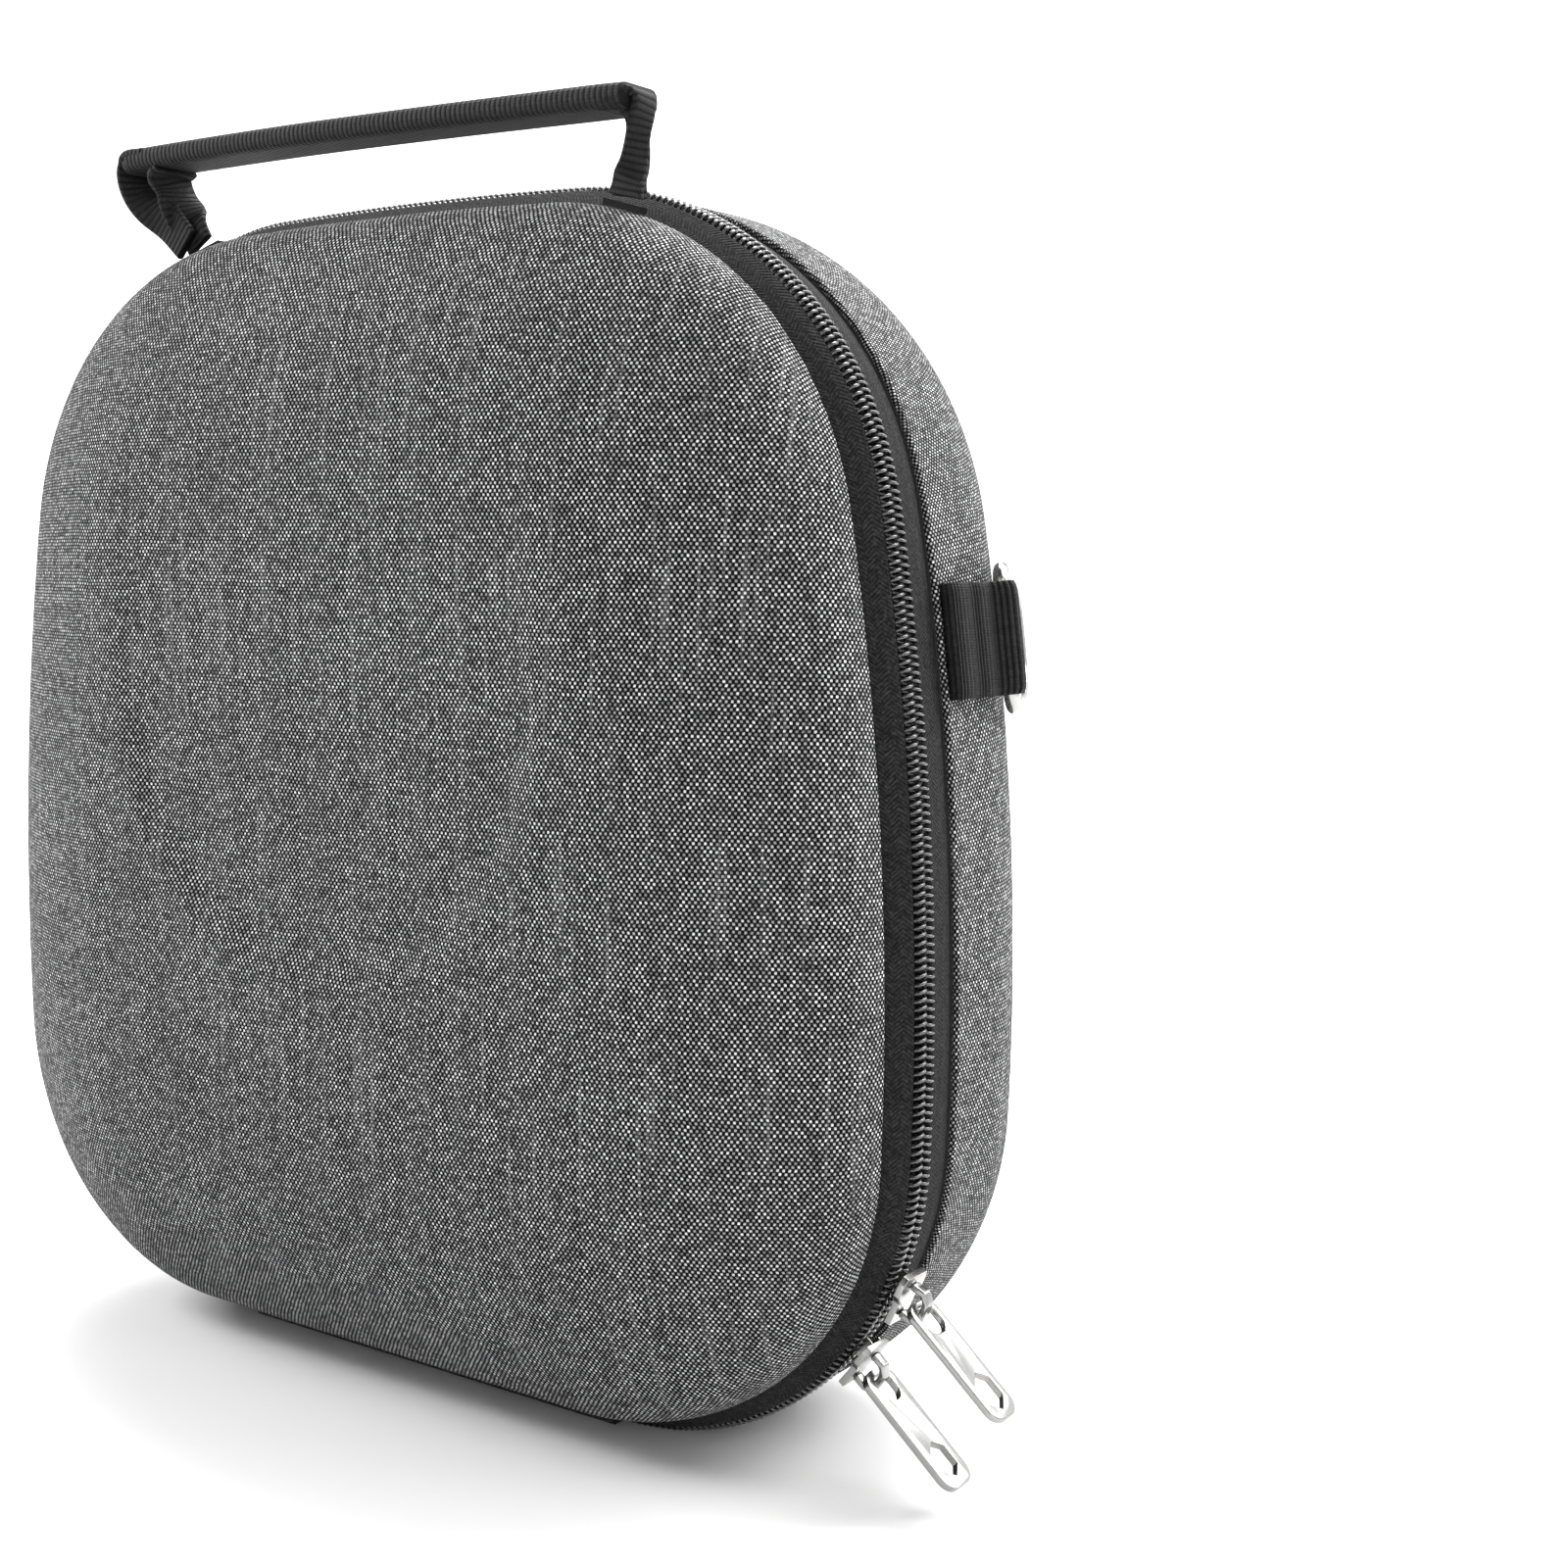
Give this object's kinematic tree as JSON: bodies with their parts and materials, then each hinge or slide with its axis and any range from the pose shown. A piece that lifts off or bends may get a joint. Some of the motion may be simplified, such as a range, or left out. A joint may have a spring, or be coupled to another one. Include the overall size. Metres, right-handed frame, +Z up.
{
  "type": "headphone carrying case",
  "caption": "Hard-shell zipped carrying case for headphones: two moulded fabric-covered halves on a fabric hinge, with webbing handle, side D-ring and inner elastic strap.",
  "frame": {"origin": "middle of the hinge edge that the upright case stands on, in the zipper's plane", "axes": "+Z up towards the handle, +X to the right seen from the front, +Y from the front half to the back half"},
  "size_m": [0.254, 0.095, 0.2535],
  "materials": {
    "melange_fabric": "heather charcoal plain weave laminated to the shell",
    "eva": "moulded EVA foam laminate",
    "lining": "short-pile grey plush",
    "zip_tape": "black woven herringbone tape",
    "zip_coil": "black nylon coil",
    "binding": "light grey woven band",
    "edging": "ribbed edging strip",
    "hinge": "black twill",
    "webbing": "black ribbed webbing",
    "elastic": "light grey ribbed elastic",
    "hook_loop": "hook and loop tape",
    "nickel": "polished nickel-plated zinc",
    "steel": "polished steel wire"
  },
  "bodies": {
    "back_half": {"back_cover": "melange_fabric", "back_shell": "eva", "back_lining": "lining", "back_zip_tape": "zip_tape", "back_zip_coil": "zip_coil", "back_binding": "binding", "back_edging": "edging", "hinge_spine": "hinge", "d_ring_loop": "webbing", "strap_anchor_left": "elastic", "strap_anchor_right": "elastic"},
    "front_half": {"front_cover": "melange_fabric", "front_shell": "eva", "front_lining": "lining", "front_zip_tape": "zip_tape", "front_zip_coil": "zip_coil", "front_binding": "binding", "front_edging": "edging", "handle_end_left": "webbing", "handle_end_right": "webbing"},
    "handle": {"handle": "webbing"},
    "upper_slider": {"upper_slider_body": "nickel", "upper_slider_crown": "nickel"},
    "upper_pull": {"upper_pull": "nickel"},
    "lower_slider": {"lower_slider_body": "nickel", "lower_slider_crown": "nickel"},
    "lower_pull": {"lower_pull": "nickel"},
    "d_ring": {"d_ring": "steel"},
    "strap_left": {"strap_left": "elastic", "hook_patch": "hook_loop"},
    "strap_right": {"strap_right": "elastic", "loop_patch": "hook_loop"}
  },
  "joints": [
    {"name": "lid_open", "type": "hinge", "parent": "back_half", "child": "front_half", "pos_m": [0, 0, -0.0006], "axis": [1, 0, 0], "range_deg": [0, 180], "deforming": ["hinge_spine"]},
    {"name": "handle_swing", "type": "hinge", "parent": "front_half", "child": "handle", "pos_m": [0, -0.0089, 0.2355], "axis": [1, 0, 0], "range_deg": [-40, 75]},
    {"name": "upper_slider_travel", "type": "hinge", "parent": "back_half", "child": "upper_slider", "pos_m": [0.0517, 0, 0.066], "axis": [0, -1, 0], "range_deg": [-2, 17]},
    {"name": "upper_pull_swing", "type": "hinge", "parent": "upper_slider", "child": "upper_pull", "pos_m": [0.11666, 0, 0.03708], "axis": [0, -1, 0], "range_deg": [-35, 90]},
    {"name": "lower_slider_travel", "type": "hinge", "parent": "back_half", "child": "lower_slider", "pos_m": [0.0517, 0, 0.066], "axis": [0, -1, 0], "range_deg": [-23, 2]},
    {"name": "lower_pull_swing", "type": "hinge", "parent": "lower_slider", "child": "lower_pull", "pos_m": [0.10773, 0, 0.02223], "axis": [0, -1, 0], "range_deg": [-40, 25]},
    {"name": "d_ring_swing", "type": "hinge", "parent": "back_half", "child": "d_ring", "pos_m": [0.11619, 0.029, 0.15595], "axis": [0.1312, 0, -0.9914], "range_deg": [0, 150]},
    {"name": "strap_left_lift", "type": "hinge", "parent": "back_half", "child": "strap_left", "pos_m": [-0.09765, 0.01655, 0.128], "axis": [0, 0, -1], "range_deg": [0, 60]},
    {"name": "strap_right_drop", "type": "hinge", "parent": "back_half", "child": "strap_right", "pos_m": [0.09765, 0.02025, 0.128], "axis": [0, 0, -1], "range_deg": [0, 9]}
  ]
}
